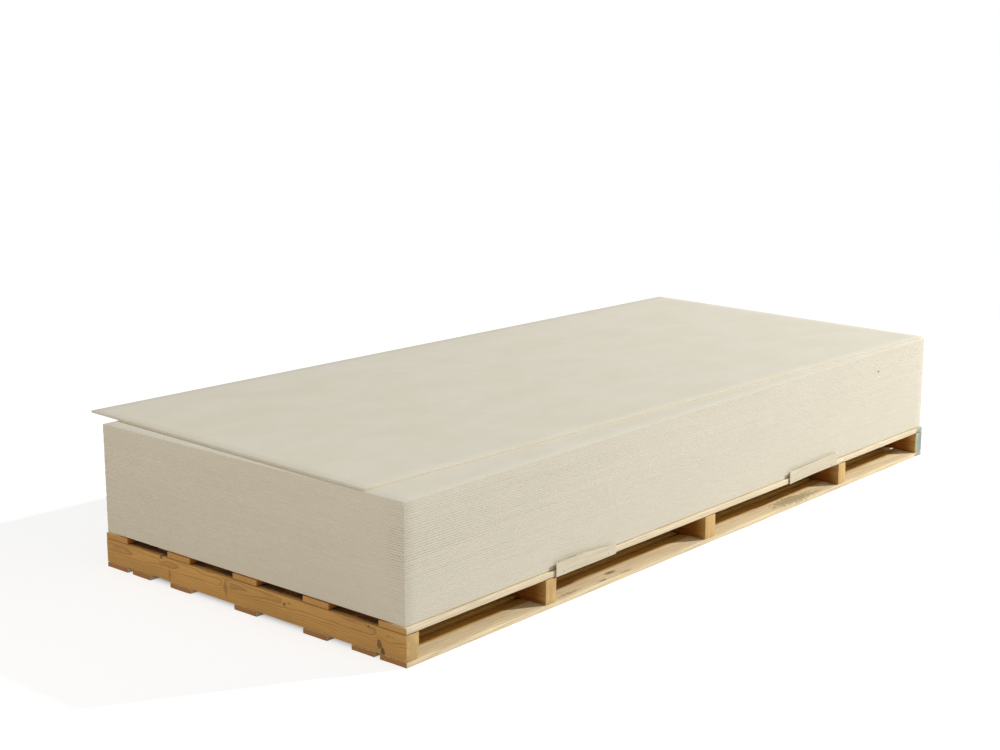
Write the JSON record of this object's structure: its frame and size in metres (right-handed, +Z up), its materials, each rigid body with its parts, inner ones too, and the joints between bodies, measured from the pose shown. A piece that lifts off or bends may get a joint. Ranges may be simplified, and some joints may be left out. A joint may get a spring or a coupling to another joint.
{
  "type": "palletised stack of fire-resistant board",
  "caption": "Flat stack of thin cream mineral fire-resistant boards on a low softwood stringer pallet with open fork bays, the loose top board lying slightly skewed.",
  "frame": {"origin": "the middle of the pallet's underside, on the middle base board", "axes": "+X along the boards' length, +Y across them towards the side with no cleats, +Z up"},
  "size_m": [2.811, 1.3735, 0.4443],
  "materials": {
    "board_face": "smooth matt cream board face",
    "board_stack": "matt cream boards with sawn edges",
    "deck_pine": "rough sawn pale softwood",
    "stringer_pine": "rough sawn honey softwood",
    "base_pine": "rough sawn softwood",
    "cleat_wood": "pale weathered wood strip"
  },
  "bodies": {
    "root": {"base_board_1": "base_pine", "base_board_2": "base_pine", "base_board_3": "base_pine", "base_board_4": "base_pine", "base_board_5": "base_pine", "base_board_6": "base_pine", "base_board_7": "base_pine", "stringer_1": "stringer_pine", "stringer_2": "stringer_pine", "stringer_3": "stringer_pine", "stringer_4": "stringer_pine", "stringer_5": "stringer_pine", "deck_board_1": "deck_pine", "deck_board_2": "deck_pine", "deck_board_3": "deck_pine", "deck_board_4": "deck_pine", "deck_board_5": "deck_pine", "edge_cleat_left": "cleat_wood", "edge_cleat_right": "cleat_wood", "boards_01_to_04": "board_stack", "boards_05_to_08": "board_stack", "boards_09_to_12": "board_stack", "boards_13_to_16": "board_stack", "boards_17_to_20": "board_stack", "boards_21_to_24": "board_stack", "boards_25_to_28": "board_stack", "boards_29_to_32": "board_stack", "boards_33_to_36": "board_stack", "boards_37_to_40": "board_stack", "boards_41_to_44": "board_stack", "boards_45_to_48": "board_stack", "top_board": "board_face"}
  },
  "joints": []
}
